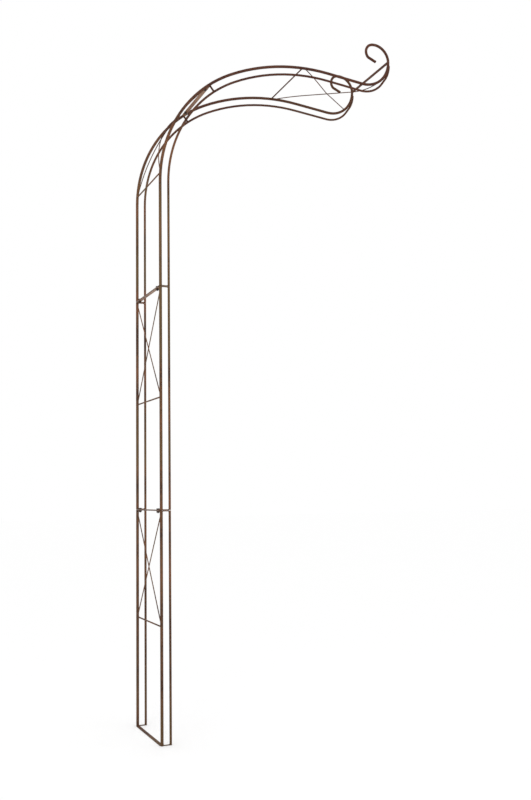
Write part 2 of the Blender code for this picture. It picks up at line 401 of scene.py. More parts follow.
@dataclass(frozen=True, kw_only=True)
class WornBarCoat(RustCoat):
    """A flat bar's coat: paler faces as painted highlight, darker sides as painted shade, rubbed along
    its edges and round its bolt holes.
    """

    half_width: float
    half_thickness: float
    holes: tuple[float, ...]                 # the bolt holes' places along Y
    name: str = "worn_bar_finish"
    # painted highlight: the bar's shades, paler than the rods' coat, for the light its flat faces catch
    brown: Colour = (0.155, 0.072, 0.038)
    dusty: Colour = (0.218, 0.110, 0.060)
    pale: Colour = (0.280, 0.158, 0.090)
    rubbed: Colour = (0.330, 0.215, 0.145)
    edge_band: float = 0.0016
    corner: float = 0.0004                   # height of the worn corner on the bar's sides
    washer_mark: float = 0.0062              # radius that the fasteners have marked
    drift_share: float = 0.60
    tones: Triple = (0.38, 0.50, 0.62)
    rusty_mottle: Pair = (0.44, 0.60)
    worn_mottle: Pair = (0.40, 0.62)         # mottle between which the wear shows
    rust_share: float = 0.50
    # painted shade on the bar's narrow sides
    side_shade_share: float = 0.75
    wear_share: float = 0.75
    roughness: float = 0.40
    mottle_roughness: float = 0.12
    rust_roughness: float = 0.20
    sheen: float = 0.32

    def shades(self) -> tuple[Colour, ...]:
        """The coat's own colours, from the lowest tone up."""
        return (self.brown, self.dusty, self.pale)

    def weather(self, graph: Graph, mottle: Value, rust: Value) -> tuple[Layers, Number]:
        """What lies over the coat's own colours, and where it is rubbed bare.

        Args:
            graph: The graph that the nodes go into.
            mottle: The coat's mottle.
            rust: The mask of the rust in its pores.

        Returns:
            Pairs of mask and colour, from the lowest up, and the mask of what is bare.
        """
        across, along, height = (graph.axis(name) for name in "XYZ")
        edge = abs(across).step(self.half_width - self.edge_band, self.half_width)
        corner = abs(height).step(self.half_thickness - self.corner, self.half_thickness)
        wear = edge * corner
        for hole in self.holes:
            away = graph.length(across, along - hole)
            wear = wear.largest(away.step(self.washer_mark, self.washer_mark - self.edge_band))
        wear = wear * mottle.step(*self.worn_mottle)
        layers = [
            (rust * self.rust_share, self.bloom),
            # painted shade: the bar's narrow sides darker than its faces
            (edge * (1.0 - corner) * self.side_shade_share, self.umber),
            (wear * self.wear_share, self.rubbed),
        ]
        return layers, wear


@dataclass(frozen=True)
class WeldCoat:
    """The coat over a weld bead: darker, a little glossier, and scaly."""

    name: str = "weld_coat_finish"
    dark: Colour = (0.046, 0.023, 0.014)
    brown: Colour = (0.118, 0.056, 0.028)
    tones: Pair = (0.35, 0.65)               # of the dark and the brown coat
    scale: float = 0.0022
    relief: float = 0.00025
    roughness: float = 0.48
    scale_roughness: float = 0.20            # what the scales add
    sheen: float = 0.22
    metal: float = 0.15
    scale_metal: float = -0.10

    def material(self) -> Material:
        """Builds the finish.

        Returns:
            The material.
        """
        graph = Graph(bpy.data.materials.new(self.name))
        scales = graph.noise(self.scale, detail=3.0)
        return graph.dress(
            Base_Color=graph.ramp(scales, *zip(self.tones, (self.dark, self.brown))),
            Roughness=self.roughness + scales * self.scale_roughness,
            Metallic=self.metal + scales * self.scale_metal,
            Specular_IOR_Level=self.sheen,
            Normal=graph.bump(scales, self.relief),
        )


@dataclass(frozen=True)
class OiledSteel:
    """Blackened bolts and nuts, with patches of brown rust and bright rubbed faces."""

    name: str = "oiled_steel_finish"
    black: Colour = (0.030, 0.026, 0.024)
    brown: Colour = (0.120, 0.062, 0.034)
    bright: Colour = (0.220, 0.200, 0.180)
    patch: float = 0.004
    grain: float = 0.0007
    relief: float = 0.00006
    rusty_patches: Pair = (0.47, 0.62)       # noise between which each of these sets in
    rubbed_grain: Pair = (0.58, 0.72)
    rubbed_share: float = 0.50               # how strongly it shows
    roughness: float = 0.34
    rust_roughness: float = 0.32             # what each of these adds
    grain_roughness: float = 0.10
    metal: float = 0.85
    rust_metal: float = -0.60

    def material(self) -> Material:
        """Builds the finish.

        Returns:
            The material.
        """
        graph = Graph(bpy.data.materials.new(self.name))
        grain = graph.noise(self.grain, detail=2.0)
        rust = graph.noise(self.patch, detail=3.0).step(*self.rusty_patches)
        rubbed = grain.step(*self.rubbed_grain) * (1.0 - rust)
        colour = graph.mix(rust, self.black, self.brown)
        return graph.dress(
            Base_Color=graph.mix(rubbed * self.rubbed_share, colour, self.bright),
            Roughness=self.roughness + rust * self.rust_roughness + grain * self.grain_roughness,
            Metallic=self.metal + rust * self.rust_metal,
            Normal=graph.bump(grain, self.relief),
        )


@dataclass(frozen=True)
class StudioWhite:
    """Paper floor that the camera sees as white, with a little of the arch's shadow."""

    name: str = "studio_white_finish"
    paper: Colour = (0.985, 0.985, 0.985)
    shade: Colour = (0.975, 0.975, 0.975)
    tones: Pair = (0.3, 0.7)                 # of the shade and the paper
    fibre: float = 0.6
    roughness: float = 0.9
    near_share: float = 0.75                 # how much of the lit paper the camera sees
    far_share: float = 0.25                  # at the arch's foot, and far from it
    near: float = 0.3
    far: float = 2.5

    def material(self) -> Material:
        """Builds the finish.

        Returns:
            The material.
        """
        graph = Graph(bpy.data.materials.new(self.name))
        clouds = graph.noise(self.fibre, detail=2.0)
        colour = graph.ramp(clouds, *zip(self.tones, (self.shade, self.paper)))
        graph.dress(Base_Color=colour, Roughness=self.roughness)
        glow = graph.add("Emission", {}, {"Color": WHITE, "Strength": 1.0})
        away = graph.length(graph.axis("X"), graph.axis("Y"))
        share = self.far_share + (self.near_share - self.far_share) * away.step(self.far, self.near)
        shaders = {0: self.seen(graph) * (1.0 - share), 1: graph.shader.outputs[0], 2: glow.outputs[0]}
        mixed = graph.add("MixShader", {}, shaders)
        graph.feed(graph.output.inputs["Surface"], mixed.outputs[0])
        return graph.owner

    @staticmethod
    def seen(graph: Graph) -> Value:
        """1 on rays from the camera, and on those that a glossy or clear surface passes on.

        Args:
            graph: The graph that the nodes go into.

        Returns:
            The mask.
        """
        path = graph.add("LightPath").outputs
        kinds = ("Is Camera Ray", "Is Glossy Ray", "Is Transmission Ray")
        camera, glossy, clear = (Value(graph, path[kind]) for kind in kinds)
        return camera.largest(glossy).largest(clear)


# Centre lines


def shares(count: int) -> list[float]:
    """Even steps from 0 to 1, both included."""
    return [k / count for k in range(count + 1)]


def all_round(first: Vector, second: Vector, count: int) -> list[Vector]:
    """Directions all round in a plane, from the first of its axes towards the second."""
    angles = [2.0 * math.pi * share for share in shares(count)[:-1]]
    return [first * math.cos(angle) + second * math.sin(angle) for angle in angles]


@dataclass(frozen=True)
class Stretch:
    """One straight or one bend of a rod, in the plane of its side frame."""

    start: float                 # length along the rod at which it begins
    length: float
    x: float
    z: float
    heading: float               # radians above +X
    curvature: float             # radians per metre, positive where the rod turns upward

    def at(self, along: float) -> Triple:
        """Place on the stretch.

        Args:
            along: Length along the rod.

        Returns:
            X, Z and the heading in radians.
        """
        run = along - self.start
        turned = self.curvature * run
        chord = run if not turned else 2.0 * math.sin(turned / 2.0) / self.curvature
        middle = self.heading + turned / 2.0
        x = self.x + chord * math.cos(middle)
        z = self.z + chord * math.sin(middle)
        return x, z, self.heading + turned


@dataclass
class Centreline:
    """A rod's centre line: straights and bends, one after another, from the ground up."""

    x: float
    stretches: list[Stretch] = field(default_factory=list)

    @property
    def length(self) -> float:
        """Length of the whole line."""
        return sum(stretch.length for stretch in self.stretches)

    def straight(self, length: float, curvature: float = 0.0) -> None:
        """Adds a straight, or a bend where it has a curvature.

        Args:
            length: Its length.
            curvature: Radians per metre.
        """
        x, z, heading = self.x, 0.0, math.pi / 2.0
        if self.stretches:
            x, z, heading = self.stretches[-1].at(self.length)
        self.stretches.append(Stretch(self.length, length, x, z, heading, curvature))

    def bend(self, radius: float, degrees: float) -> None:
        """Adds a bend by an angle that is positive where it turns upward."""
        self.straight(radius * math.radians(abs(degrees)), math.copysign(1.0 / radius, degrees))

    def at(self, along: float) -> Triple:
        """Place on the line.

        Args:
            along: Length along it, which may be past either end.

        Returns:
            X, Z and the heading in radians.
        """
        for stretch in self.stretches:
            if along <= stretch.start + stretch.length:
                return stretch.at(along)
        return self.stretches[-1].at(along)

    def turned_to(self, heading: float) -> float:
        """Length at which the line has turned upward to a heading.

        Args:
            heading: The heading, in radians.

        Returns:
            Length along the line.
        """
        for stretch in self.stretches:
            short = heading - stretch.heading
            if stretch.curvature > 0.0 and 0.0 <= short <= stretch.curvature * stretch.length:
                return stretch.start + short / stretch.curvature
        return self.length

    def stations(self, low: float, high: float) -> list[float]:
        """Lengths for the rings of a rod, close together on the bends.

        Args:
            low: The rod's lower end.
            high: Its upper end.

        Returns:
            Lengths from low to high, both included.
        """
        found = {low, high}
        for stretch in self.stretches:
            turn = math.degrees(abs(stretch.curvature) * stretch.length)
            steps = max(1, math.ceil(turn / TURN_STEP))
            places = [stretch.start + stretch.length * share for share in shares(steps)]
            found.update(s for s in places if low + END_ROUNDING < s < high - END_ROUNDING)
        return sorted(found)

    def frame(self, along: float) -> Matrix:
        """Axes on the line.

        Args:
            along: Length along it.

        Returns:
            X towards the inside of the arch, Y to the left, Z along the line.
        """
        x, z, heading = self.at(along)
        ahead = Vector((math.cos(heading), 0.0, math.sin(heading)))
        inside = Vector((math.sin(heading), 0.0, -math.cos(heading)))
        turn = Matrix((inside, Vector((0.0, 1.0, 0.0)), ahead)).transposed()
        return Matrix.Translation((x, 0.0, z)) @ turn.to_4x4()


@dataclass(frozen=True)
class SideFrame:
    """The bends of a side frame's two rods. Angles are in degrees."""

    spacing: float = 0.290               # between the two back rods' centres
    rod_gap: float = 0.029               # between a back and a front rod's centres
    leg: float = 0.750
    spring_straight: float = 0.363
    spring_radius: float = 0.470
    spring_angle: float = 64.0
    spring_end: float = 52.0
    crest_radius: float = 0.718
    crest_angle: float = 32.0
    crest_straight: float = 0.142
    rise_radius: float = 0.1065
    rise_angle: float = 94.0
    scroll_bends: tuple[Pair, ...] = ((0.059, 103.0), (0.032, 110.0), (0.015, 36.0))
    tip_straight: float = 0.032          # the scroll's end
    front_rise_radius: float = 0.103
    front_weld_slope: float = 54.0       # where the front rod's taper begins
    front_end_slope: float = 82.0        # and where it ends
    back_radius: float = 0.005
    front_radius: float = 0.004
    front_tip_radius: float = 0.0015
    clearance: float = 0.0003            # left between welded pieces in the solids

    @property
    def rod_y(self) -> float:
        """The back rods' place along Y, without its sign."""
        return self.spacing / 2.0

    def sides(self) -> list[tuple[Side, float]]:
        """The two side frames, with their rods' places along Y."""
        return [(side, side.value * self.rod_y) for side in Side]

    def back(self) -> Centreline:
        """Centre line of a back rod, to the tip of its scroll.

        Returns:
            The line.
        """
        line = self.lower_line(0.0)
        line.straight(self.crest_straight)
        line.bend(self.rise_radius, self.rise_angle)
        for radius, angle in self.scroll_bends:
            line.bend(radius, angle)
        line.straight(self.tip_straight)
        return line

    def front(self) -> Centreline:
        """Centre line of a front rod, which ends along the outside of the back rod's rise.

        Returns:
            The line.
        """
        fall = 90.0 - self.spring_angle - self.crest_angle
        turn = math.radians(self.front_weld_slope - fall)
        touching = self.rise_radius + self.back_radius + self.clearance + self.front_radius
        spare = touching - self.front_rise_radius
        depth = self.rise_radius + self.rod_gap - self.front_rise_radius
        lead = (depth - spare * math.cos(turn)) / math.sin(turn)
        reach = spare * math.sin(turn) - lead * math.cos(turn)
        line = self.lower_line(self.rod_gap)
        line.straight(self.crest_straight + reach)
        line.bend(self.front_rise_radius, math.degrees(turn))
        line.straight(lead)
        line.bend(touching, self.front_end_slope - self.front_weld_slope)
        return line

    def lower_line(self, gap: float) -> Centreline:
        """Centre line of a rod up to the end of the bend over.

        Args:
            gap: How far inside the back rod's line it runs.

        Returns:
            The line, to be carried on.
        """
        line = Centreline(gap)
        line.straight(2.0 * self.leg + self.spring_straight)
        line.bend(self.spring_radius - gap, -self.spring_angle)
        line.bend(self.crest_radius - gap, -self.crest_angle)
        return line

    def front_radius_at(self, line: Centreline, along: float) -> float:
        """Radius of a front rod, which narrows along its last bend.

        Args:
            line: The rod's centre line.
            along: Length along it.

        Returns:
            The radius.
        """
        taper = line.stretches[-1]
        done = min(1.0, max(0.0, (along - taper.start) / taper.length))
        return self.front_radius + done * (self.front_tip_radius - self.front_radius)

    def spring_top(self, gap: float) -> float:
        """Length to the joint below the crest, along a rod that runs a gap inside the back rod."""
        bend = (self.spring_radius - gap) * math.radians(self.spring_end)
        return 2.0 * self.leg + self.spring_straight + bend


# Mesh making


class Shell:
    """Points and faces of a piece while it is made."""

    def __init__(self) -> None:
        """Starts with nothing."""
        self.points: list[Vector] = []
        self.faces: list[tuple[int, ...]] = []

    def loft(self, rings: Sequence[Sequence[Vector]], looped: bool = False) -> None:
        """Joins rings of equally many points.

        Args:
            rings: The rings, in order.
            looped: Joins the last ring to the first. Otherwise both are capped.
        """
        base, rows, count = len(self.points), len(rings), len(rings[0])
        for ring in rings:
            self.points.extend(ring)
        for row in range(rows if looped else rows - 1):
            this = base + row * count
            after = base + (row + 1) % rows * count
            for i in range(count):
                j = (i + 1) % count
                self.faces.append((this + i, this + j, after + j, after + i))
        if not looped:
            last = base + (rows - 1) * count
            self.faces.append(tuple(base + i for i in reversed(range(count))))
            self.faces.append(tuple(last + i for i in range(count)))

    def tube(self, points: Sequence[Vector], radii: Sequence[float], sides: int) -> None:
        """A round tube along points, with flat caps.

        Args:
            points: Its centre line.
            radii: Its radius at each point.
            sides: Points round it.
        """
        rings = []
        for i, (point, radius) in enumerate(zip(points, radii)):
            ahead = (points[min(i + 1, len(points) - 1)] - points[max(i - 1, 0)]).normalized()
            out = Vector((0.0, 1.0, 0.0)).cross(ahead)
            if out.length < LEVEL_LIMIT:
                out = Vector((1.0, 0.0, 0.0))
            out = (out - ahead * out.dot(ahead)).normalized()
            other = ahead.cross(out)
            rings.append([point + radius * way for way in all_round(out, other, sides)])
        self.loft(rings)

    def add(self, other: "Shell") -> None:
        """Takes in another shell.

        Args:
            other: The shell.
        """
        base = len(self.points)
        self.points.extend(other.points)
        self.faces.extend(tuple(base + i for i in face) for face in other.faces)

    def mesh(self) -> Mesh:
        """What was made, as a mesh.

        Returns:
            The mesh.
        """
        mesh = bpy.data.meshes.new("shell")
        mesh.from_pydata([tuple(point) for point in self.points], [], self.faces)
        return mesh


def add_object(name: str, data: ID) -> Object:
    """Adds an object to the scene.

    Args:
        name: Its name.
        data: Its mesh, curve, lamp or lens.

    Returns:
        The object.
    """
    added = bpy.data.objects.new(name, data)
    bpy.context.scene.collection.objects.link(added)
    return added


def add_piece(name: str, mesh: Mesh, finish: Material) -> Object:
    """Adds a mesh to the scene as a piece that rides on the arch.

    Args:
        name: The piece's name.
        mesh: Its mesh.
        finish: Its material.

    Returns:
        The object.
    """
    mesh.name = name
    mesh.shade_smooth()
    mesh.set_sharp_from_angle(angle=math.radians(SHARP_ANGLE))
    mesh.materials.clear()
    mesh.materials.append(finish)
    piece = add_object(name, mesh)
    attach(piece, BODY)
    LOG.info("%s: %d faces", name, len(mesh.polygons))
    return piece


def stand_for(
    node: str, mesh: Mesh, finish: Material, place: Matrix | None = None
) -> None:
    """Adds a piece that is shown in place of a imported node.

    Args:
        node: The node's name.
        mesh: The piece's mesh.
        finish: Its material.
        place: Its own axes, where they aren't the arch's.
    """
    piece = add_piece(node + "_finished", mesh, finish)
    if place is not None:
        piece.matrix_world = place
    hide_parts(node)


def rounded_rod(points: Sequence[Vector], radii: Sequence[float], sides: int) -> Shell:
    """A rod with worn ends.

    Args:
        points: Its centre line, end to end.
        radii: Its radius at each point.
        sides: Points round it.

    Returns:
        The rod's shell.
    """
    points, radii = list(points), list(radii)
    depths = (0.0, END_ROUNDING * ROUNDED_SHARE, END_ROUNDING)
    for _ in range(2):
        inward = (points[1] - points[0]).normalized()
        points[:1] = [points[0] + inward * depth for depth in depths]
        radii[:1] = [radii[0] - narrowing for narrowing in reversed(depths)]
        points.reverse()
        radii.reverse()
    shell = Shell()
    shell.tube(points, radii, sides)
    return shell


@dataclass(frozen=True)
class RodSide:
    """The side of a rod that something is welded to."""

    point: Vector                    # on the rod's axis
    axis: Vector
    radius: float

    def reach(self, start: Vector, meets: Vector) -> float:
        """Distance from a point to the rod's side, or to where it passes closest.

        Args:
            start: The point.
            meets: The direction towards the rod, of length 1.

        Returns:
            The distance along the direction.
        """
        axis = self.axis.normalized()
        offset = start - self.point
        offset = offset - axis * offset.dot(axis)
        slope = meets - axis * meets.dot(axis)
        square = slope.dot(slope)
        middle = offset.dot(slope)
        under = middle * middle - square * (offset.dot(offset) - self.radius * self.radius)
        return (-middle - math.sqrt(max(under, 0.0))) / square


@dataclass(frozen=True)
class Welds:
    """The weld beads of one section, laid into one shell."""

    shell: Shell
    unevenness: float = 0.35         # of a hand-laid bead
    lump: float = 0.0021
    leg: float = 0.0014              # how far a collar runs out on each side of its corner
    sides: int = 20
    section: tuple[Triple, ...] = (  # a collar's section: run and rise as shares of the leg, and sink
        (0.0, 1.0, 0.0),
        (0.36, 0.62, 0.0),
        (0.72, 0.28, 0.0),
        (1.0, 0.0, 0.0001),
        (-0.5, 0.0, 0.0004),
    )
    bar_leg: float = 0.0020
    bar_thinning: float = 0.75       # of a bar's bead, towards its ends
    bar_half_angle: float = 66.0     # degrees round the rod, to each side
    bar_steps: int = 18
    bar_bite: float = 0.0004         # into the rod
    bar_sink: float = 0.0010         # into the bar
    bar_toe: float = 0.0002          # where it's highest, from the rod's side
    bar_root: float = 0.9            # its height in the rod, as a share of the leg
    bar_face: Pair = (0.55, 0.66)    # run and rise in the middle of its face, as shares of the leg
    bar_outer: float = 0.5           # the share of its leg beyond which it lies on the bar
    bar_overlap: float = 0.0010      # how far onto the bar that part lies at least
    seam_sides: int = 12
    seam_ends: float = 0.02          # square of the share of its radius at which a seam ends

    def ripple(self, place: Vector) -> float:
        """Uneven factor about 1, for a bead at a place on the arch."""
        return 1.0 + self.unevenness * noise.noise(place / self.lump)

    def collar(
        self,
        along: Vector,
        meets: Vector,
        rod: RodSide,
        radius: float,
        flush: tuple[Vector, Vector] | None = None,
    ) -> None:
        """A bead all round where a rod's end meets the side of another.

        Args:
            along: A point on the ending rod's axis, outside the other rod.
            meets: The direction from there towards the other rod.
            rod: The other rod.
            radius: The ending rod's radius.
            flush: A plane that the bead is ground off at, as a point and the side that stays.
        """
        meets = meets.normalized()
        first = meets.orthogonal().normalized()
        second = meets.cross(first)
        rings: list[list[Vector]] = [[] for _ in self.section]
        for out in all_round(first, second, self.sides):
            leg = self.leg * self.ripple(along + out * radius)
            for ring, (run, rise, sink) in zip(rings, self.section):
                start = along + out * (radius + run * leg)
                point = start + meets * (rod.reach(start, meets) - rise * leg + sink)
                if flush:
                    point -= flush[1] * min(0.0, (point - flush[0]).dot(flush[1]))
                ring.append(point)
        self.shell.loft(rings, looped=True)

    def bar_end(self, axes: Matrix, y: float, radius: float, face: float, up: int) -> None:
        """A bead on a flat bar's inner face, round the rod that its end meets.

        Args:
            axes: The bar's axes.
            y: The rod's place along them.
            radius: The rod's radius.
            face: Height of the bar's inner face.
            up: 1 where the section lies above the face, -1 where below.
        """
        outward = math.copysign(1.0, y)
        rings = []
        for share in shares(self.bar_steps):
            lean = 2.0 * share - 1.0
            angle = math.radians(self.bar_half_angle * lean)
            lump = self.ripple(axes @ Vector((radius * math.sin(angle), y, face)))
            leg = self.bar_leg * lump * (1.0 - self.bar_thinning * lean ** 4)
            section = (
                (-self.bar_bite, self.bar_root * leg),
                (self.bar_toe, leg),
                (self.bar_face[0] * leg, self.bar_face[1] * leg),
                (leg, 0.0),
                (leg, -self.bar_sink),
                (-self.bar_bite, -self.bar_sink),
            )
            ring = []
            for run, height in section:
                inward = (radius + run) * math.cos(angle)
                if run > self.bar_outer * leg:
                    inward = max(inward, radius + self.bar_overlap)
                corner = ((radius + run) * math.sin(angle), y - outward * inward, face + up * height)
                ring.append(axes @ Vector(corner))
            rings.append(ring)
        self.shell.loft(rings)

    def seam(self, points: Sequence[Vector], radius: float) -> None:
        """A bead laid along a groove, thinner at its ends.

        Args:
            points: The groove's line.
            radius: The bead's radius.
        """
        radii = []
        for point, share in zip(points, shares(len(points) - 1)):
            thinning = math.sqrt(1.0 + self.seam_ends - (2.0 * share - 1.0) ** 4)
            radii.append(radius * self.ripple(point) * thinning)
        self.shell.tube(points, radii, self.seam_sides)


@dataclass(frozen=True)
class FlatBar:
    """The stock of the flat bars, which lie between the back rods."""

    width: float = 0.012
    thickness: float = 0.002
    rounding: float = 0.0004
    hole_inset: float = 0.036            # from the back rods' centres
    hole_radius: float = 0.0033
    hole_sides: int = 32

    def holes(self, rod_y: float) -> Pair:
        """The bolt holes' places along Y, from right to left."""
        return (self.hole_inset - rod_y, rod_y - self.hole_inset)

    def mesh(self, half_length: float, holes: Sequence[float]) -> Mesh:
        """A bar about its middle, with Z through its thickness.

        Args:
            half_length: Half its length.
            holes: Its holes' places along Y.

        Returns:
            The mesh.
        """
        half_width = self.width / 2.0
        corners = [(-1, -1), (1, -1), (1, 1), (-1, 1)]
        outlines = [[(half_width * i, half_length * j) for i, j in corners]]
        ways = all_round(Vector((1.0, 0.0)), Vector((0.0, -1.0)), self.hole_sides)
        for hole in holes:
            outlines.append([(self.hole_radius * way.x, hole + self.hole_radius * way.y) for way in ways])
        bar = bpy.data.curves.new("bar", "CURVE")
        bar.dimensions = "2D"
        bar.fill_mode = "BOTH"
        bar.extrude = self.thickness / 2.0 - self.rounding
        bar.bevel_depth = self.rounding
        bar.bevel_resolution = 2
        bar.offset = -self.rounding
        bar.resolution_u = 1
        for points in outlines:
            spline = bar.splines.new("POLY")
            spline.points.add(len(points) - 1)
            spline.use_cyclic_u = True
            for knot, (x, y) in zip(spline.points, points):
                knot.co = (x, y, 0.0, 1.0)
        holder = add_object("bar", bar)
        bpy.context.view_layer.update()
        graph = bpy.context.evaluated_depsgraph_get()
        mesh = bpy.data.meshes.new_from_object(holder.evaluated_get(graph))
        bpy.data.objects.remove(holder)
        return mesh


@dataclass
class Finishes:
    """The arch's materials, made once."""

    coat: Material
    bar: Material
    weld: Material
    steel: Material


@dataclass
class Section:
    """One bolted section between two joints, with its rods, bars, links, rail and wires."""

    name: str
    sizes: SideFrame
    bar: FlatBar
    finishes: Finishes
    back: Pair                           # lengths along the back rod at its two ends
    front: Pair
    rail: float                          # the rail's length above the lower end
    wires_end: float                     # length along the back rod at which the wires end
    ends: tuple[End, ...] = (End.BOTTOM, End.TOP)    # those with a flat bar and links
    bottom_lift: float = 0.00015         # a bar's outer face, inward from its joint's plane
    top_lift: float = 0.00015
    setback: float = 0.0007              # the rods' ends, behind the joint's plane
    top_setback: float = 0.0007
    link_radius: float = 0.00175
    rail_radius: float = 0.0025
    wire_radius: float = 0.00175
    wire_inset: float = 0.012            # from the wires' lower ends to the rail
    rail_lead: float = 0.010             # from a back rod's side to where the rail's weld is aimed from
    wire_lead: float = 0.05              # share of a wire by which its end's direction is taken
    weld_sink: float = 0.0006            # how deep two crossing wires run into each other
    weld_bite: float = 0.0005            # how far a welded end runs into its rod here
    spot_reach: float = 0.98             # of the way from one crossing wire's axis to the other's
    spot_girth: float = 1.35             # the spot weld's radius, in those of a wire
    spot_steps: int = 7
    rod_sides: int = 28
    thin_sides: int = 16
    wire_steps: int = 44

    def __post_init__(self) -> None:
        """Works out the centre lines."""
        self.back_line = self.sizes.back()
        self.front_line = self.sizes.front()
        self.welds = Welds(Shell())

    @property
    def span(self) -> float:
        """How far a rail or wire reaches to each side, into the back rods."""
        return self.sizes.rod_y - self.sizes.back_radius + self.weld_bite

    @property
    def wires_start(self) -> float:
        """Length along the back rod at which the wires begin."""
        return self.back[0] + self.rail + self.wire_inset

    def end_axes(self, end: End) -> Matrix:
        """The back rods' axes at one end of the section, with Z along the rods."""
        return self.back_line.frame(self.back[0] if end is End.BOTTOM else self.back[1])

    def outer_face(self, end: End) -> float:
        """Height of a bar's outer face over its end's plane, measured into the section."""
        return self.bottom_lift if end is End.BOTTOM else self.top_lift

    def build(self) -> None:
        """Makes and dresses the section's pieces."""
        self.build_rods()
        self.build_rail()
        for end in self.ends:
            self.build_bar(end)
            self.build_links(end)
        self.build_wires()
        self.build_extras()
        add_piece(self.name + "_welds", self.welds.shell.mesh(), self.finishes.weld)

    def build_extras(self) -> None:
        """What only one section has."""

    def bar_finish(self, end: End) -> Material:
        """The material of the flat bar at an end."""
        return self.finishes.bar

    def bar_mesh(self, holes: Sequence[float]) -> Mesh:
        """A flat bar that fits between the back rods, with holes at some places along Y."""
        return self.bar.mesh(self.sizes.rod_y - self.sizes.back_radius - self.sizes.clearance, holes)

    def add_coated(self, node: str, shell: Shell) -> None:
        """Adds a rod, rail, link or cross for one of the section's nodes, named without the section."""
        stand_for(f"{self.name}_{node}", shell.mesh(), self.finishes.coat)

    def thin_rod(self, points: Sequence[Vector], radius: float) -> Shell:
        """A rail, link or wire through points."""
        return rounded_rod(points, [radius] * len(points), self.thin_sides)

    def back_rod(self, axes: Matrix, y: float, height: float = 0.0) -> RodSide:
        """A back rod, as what is welded to it finds it."""
        return RodSide(axes @ Vector((0.0, y, height)), axes.col[2].xyz, self.sizes.back_radius)

    def build_rods(self) -> None:
        """Both side frames' back and front rods."""
        sizes = self.sizes
        for kind, line, (low, high), full in (
            ("back_rod", self.back_line, self.back, sizes.back_radius),
            ("front_rod", self.front_line, self.front, sizes.front_radius),
        ):
            stations = line.stations(low + self.setback, high - self.top_setback)
            radii = [full] * len(stations)
            if kind == "front_rod":
                radii = [sizes.front_radius_at(line, s) for s in stations]
            for side, y in sizes.sides():
                points = [line.frame(s) @ Vector((r - full, y, 0.0)) for s, r in zip(stations, radii)]
                self.add_coated(f"{kind}_{side.label}", rounded_rod(points, radii, self.rod_sides))

    def build_rail(self) -> None:
        """The rail between the side frames, and its welds."""
        axes = self.back_line.frame(self.back[0] + self.rail)
        points = [axes @ Vector((0.0, y, 0.0)) for y in (-self.span, 0.0, self.span)]
        self.add_coated("rail", self.thin_rod(points, self.rail_radius))
        for side, y in self.sizes.sides():
            outward = Vector((0.0, side.value, 0.0))
            rod = self.back_rod(axes, y)
            start = rod.point - outward * (rod.radius + self.rail_lead)
            self.welds.collar(start, outward, rod, self.rail_radius)

    def build_bar(self, end: End) -> None:
        """A flat bar with its two bolt holes, and its welds.

        Args:
            end: Which end it closes.
        """
        sizes, thickness = self.sizes, self.bar.thickness
        axes, face = self.end_axes(end), self.outer_face(end)
        lift = Matrix.Translation((0.0, 0.0, end.value * (face + thickness / 2.0)))
        bar = self.bar_mesh(self.bar.holes(sizes.rod_y))
        node = f"{self.name}_{end.label}_bar"
        stand_for(node, bar, self.bar_finish(end), axes @ lift)
        inner = end.value * (face + thickness)
        for _, y in sizes.sides():
            self.welds.bar_end(axes, y, sizes.back_radius, inner, end.value)

    def build_links(self, end: End) -> None:
        """The links between the back and front rods at one end, and their welds.

        Args:
            end: Which end.
        """
        gap, front_radius = self.sizes.rod_gap, self.sizes.front_radius
        height = end.value * (self.outer_face(end) + self.link_radius)
        axes = self.end_axes(end)
        ahead, inside = axes.col[2].xyz, axes.col[0].xyz
        flush = (axes @ Vector((0.0, 0.0, end.value * self.setback)), end.value * ahead)
        start = self.sizes.back_radius - self.weld_bite
        stop = gap - front_radius + self.weld_bite
        for side, y in self.sizes.sides():
            points = [axes @ Vector((x, y, height)) for x in (start, (start + stop) / 2.0, stop)]
            self.add_coated(f"{end.label}_link_{side.label}", self.thin_rod(points, self.link_radius))
            front = RodSide(axes @ Vector((gap, y, height)), ahead, front_radius)
            for rod, way in ((self.back_rod(axes, y, height), -inside), (front, inside)):
                self.welds.collar(points[1], way, rod, self.link_radius, flush)

    def wire_axes(self, share: float) -> Matrix:
        """The back rods' axes at a share of the way from the wires' lower ends to their upper ones."""
        return self.back_line.frame(self.wires_start + share * (self.wires_end - self.wires_start))

    def wire_point(self, hand: int, share: float) -> Vector:
        """A point at a share of the way along one of the two wires, whose hand is 1 or -1."""
        lift = self.wire_radius - self.weld_sink / 2.0
        return self.wire_axes(share) @ Vector((hand * lift, hand * self.span * (1.0 - 2.0 * share), 0.0))

    def wire_points(self, hand: int) -> list[Vector]:
        """One wire's centre line."""
        return [self.wire_point(hand, share) for share in shares(self.wire_steps)]

    def build_wires(self) -> None:
        """The two crossing wires, their spot weld and the welds at their ends."""
        cross = Shell()
        for hand in (1, -1):
            cross.add(self.thin_rod(self.wire_points(hand), self.wire_radius))
            for share, inner in ((0.0, self.wire_lead), (1.0, 1.0 - self.wire_lead)):
                end = self.wire_point(hand, share)
                start = self.wire_point(hand, inner)
                rod = self.back_rod(self.wire_axes(share), math.copysign(self.sizes.rod_y, end.y))
                self.welds.collar(start, end - start, rod, self.wire_radius)
        over, under = (self.wire_point(hand, 0.5) for hand in (1, -1))
        spot = [under.lerp(over, self.spot_reach * share) for share in shares(self.spot_steps)]
        self.welds.seam(spot, self.wire_radius * self.spot_girth)
        self.add_coated("wire_cross", cross)


@dataclass
class FootSection(Section):
    """The lowest section, whose lower bar stands on the ground."""

    bottom_lift: float = 0.0

    def bar_finish(self, end: End) -> Material:
        """The material of the flat bar at an end; the one on the ground has the rods' coat."""
        return self.finishes.coat if end is End.BOTTOM else self.finishes.bar


